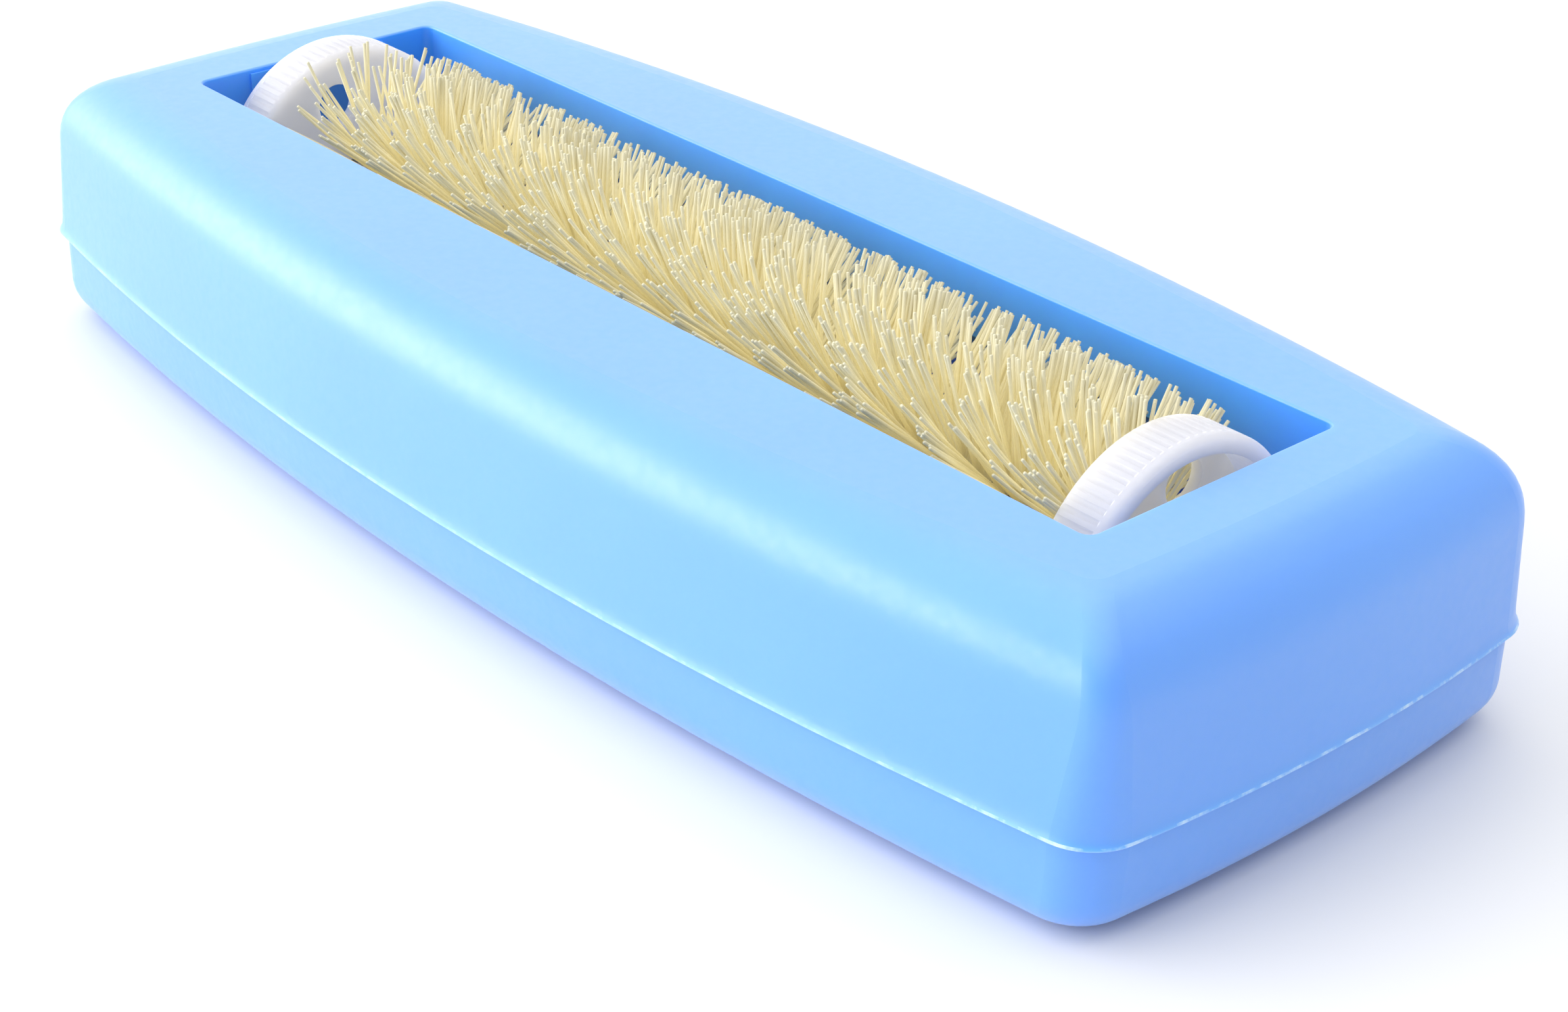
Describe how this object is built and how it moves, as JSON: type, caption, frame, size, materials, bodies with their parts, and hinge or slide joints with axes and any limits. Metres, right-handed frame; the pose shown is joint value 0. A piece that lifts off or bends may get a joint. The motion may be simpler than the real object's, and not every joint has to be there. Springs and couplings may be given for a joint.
{
  "type": "hand roller brush sweeper",
  "caption": "Hand-held roller-brush sweeper lying on its back: bristle roller on ribbed end wheels in a slotted plastic housing, over a lift-off cover that holds the crumbs.",
  "frame": {"origin": "on the resting plane, at the centre of the flat back, under the middle of the body", "axes": "+X along the roller, +Z out of the back towards the brush side, +Y across the body"},
  "size_m": [0.1854, 0.0786, 0.0354],
  "materials": {
    "body_plastic": "satin light blue moulded polypropylene",
    "wheel_plastic": "milky translucent natural polypropylene",
    "core_wire": "drawn galvanised wire",
    "bristle": "straw-coloured nylon filament with cut ends"
  },
  "bodies": {
    "cover": {"back_cover": "body_plastic"},
    "housing": {"brush_housing": "body_plastic"},
    "roller": {"wheel_left": "wheel_plastic", "wheel_right": "wheel_plastic", "core_wire_a": "core_wire", "core_wire_b": "core_wire", "bristle_pack": "bristle"}
  },
  "joints": [
    {"name": "housing_lift", "type": "slide", "parent": "cover", "child": "housing", "axis": [0, 0, 1], "range_m": [0, 0.04]},
    {"name": "roller_spin", "type": "hinge", "parent": "housing", "child": "roller", "pos_m": [0, 0, 0.0184], "axis": [1, 0, 0], "continuous": true}
  ]
}
